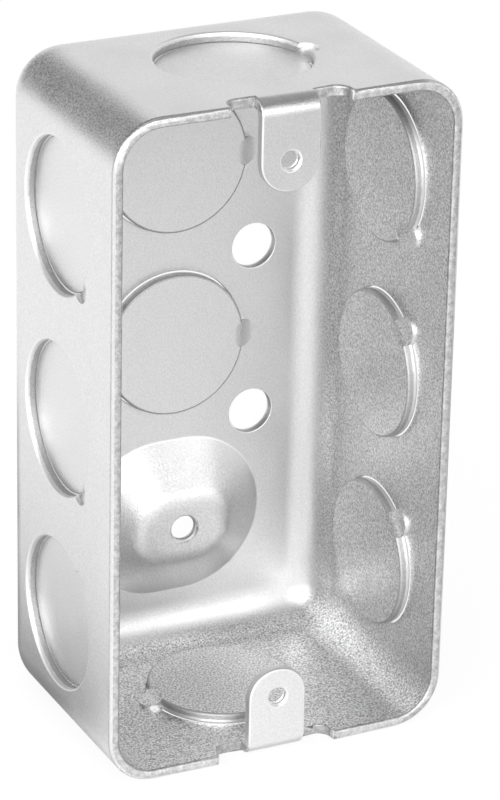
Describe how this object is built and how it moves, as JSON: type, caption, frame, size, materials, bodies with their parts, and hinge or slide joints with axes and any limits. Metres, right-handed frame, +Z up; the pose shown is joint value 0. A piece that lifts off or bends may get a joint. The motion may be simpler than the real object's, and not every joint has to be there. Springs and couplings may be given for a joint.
{
  "type": "handy box",
  "caption": "Deep drawn steel wiring box with an open front, round knockouts in its walls, folded tapped ears for a device and a raised ground boss in the back.",
  "frame": {"origin": "centre of the box's width and depth, at the foot of its lower end", "axes": "+Z up along the long walls, away from the end with the ground boss; +Y from the open face to the back; +X toward the side with the mounting holes"},
  "size_m": [0.054, 0.0398, 0.1016],
  "materials": {
    "zinc_steel": "zinc coated sheet with a fine bright grain, bare and shiny along the sheared edges"
  },
  "bodies": {
    "root": {"handy_box": "zinc_steel"}
  },
  "joints": []
}
